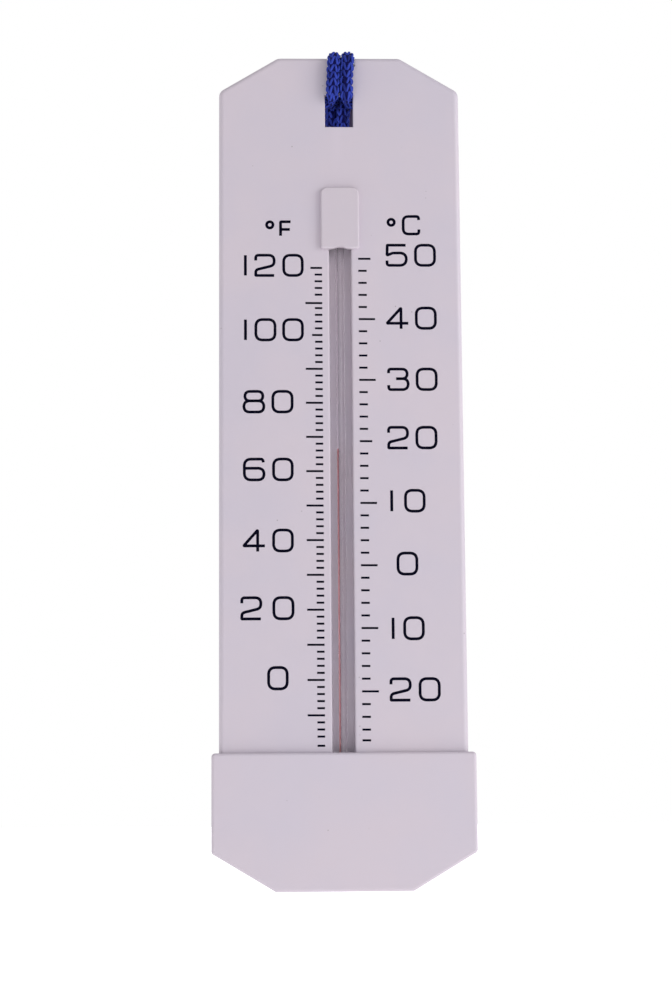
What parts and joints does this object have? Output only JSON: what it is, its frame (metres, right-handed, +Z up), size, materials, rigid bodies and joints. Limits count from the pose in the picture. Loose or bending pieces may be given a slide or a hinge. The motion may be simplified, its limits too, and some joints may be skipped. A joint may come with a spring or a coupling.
{
  "type": "wall thermometer",
  "caption": "Hanging wall thermometer: chamfered plastic scale plate with a glass spirit tube, a cover over the bulb and a braided cord.",
  "frame": {"origin": "middle of the hang slot's top edge, projected on the plane of the back rim", "axes": "+Z up along the plate, scale facing -Y, back rim on the plane y = 0"},
  "size_m": [0.077, 0.0139, 0.2523],
  "materials": {
    "plate_plastic": "satin injection-moulded ABS, pale lilac white",
    "cover_plastic": "satin injection-moulded ABS, pale lilac white",
    "clip_plastic": "satin injection-moulded ABS, pale lilac white",
    "pad_rubber": "soft pale silicone",
    "tube_glass": "clear drawn glass",
    "red_spirit": "clear red-dyed spirit",
    "blue_cord": "round braided polyester cord, royal blue"
  },
  "bodies": {
    "root": {"scale_plate": "plate_plastic", "bulb_cover": "cover_plastic", "tube_clip": "clip_plastic", "clip_pad": "pad_rubber", "neck_pad": "pad_rubber", "glass_tube": "tube_glass", "bulb_spirit": "red_spirit", "hang_cord": "blue_cord", "cord_knot": "blue_cord"},
    "spirit_thread": {"spirit_column": "red_spirit", "spirit_meniscus": "red_spirit"}
  },
  "joints": [
    {"name": "spirit_level", "type": "slide", "parent": "root", "child": "spirit_thread", "axis": [0, 0, 1], "range_m": [-0.0869, 0.0576], "deforming": ["spirit_column"]}
  ]
}
